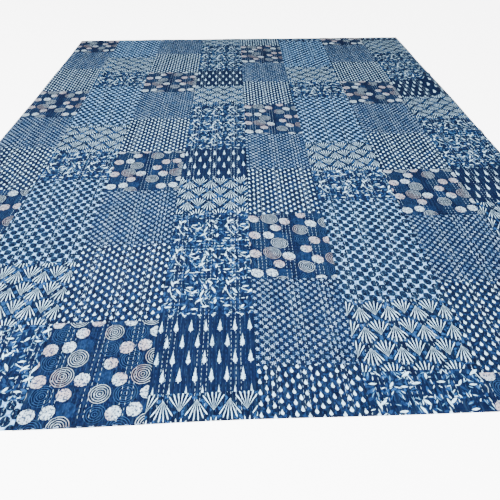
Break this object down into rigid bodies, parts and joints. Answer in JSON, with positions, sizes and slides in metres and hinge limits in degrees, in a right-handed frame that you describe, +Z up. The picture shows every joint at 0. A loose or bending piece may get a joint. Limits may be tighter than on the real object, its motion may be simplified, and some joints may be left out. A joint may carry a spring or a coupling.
{
  "type": "kantha quilt",
  "caption": "Large flat rectangular quilt of thin cotton layers held by running stitch, with a patchwork top in long columns of indigo block prints.",
  "frame": {"origin": "middle of the footprint, on the surface that the quilt lies on", "axes": "+X across the eight columns of patchwork, +Y along the columns from the near end to the far end, +Z up out of the patchwork side"},
  "size_m": [2.2858, 2.6492, 0.0229],
  "materials": {
    "indigo_cotton": "washed cotton, matt, quilted with running stitch"
  },
  "bodies": {
    "root": {"quilt": "indigo_cotton"}
  },
  "joints": []
}
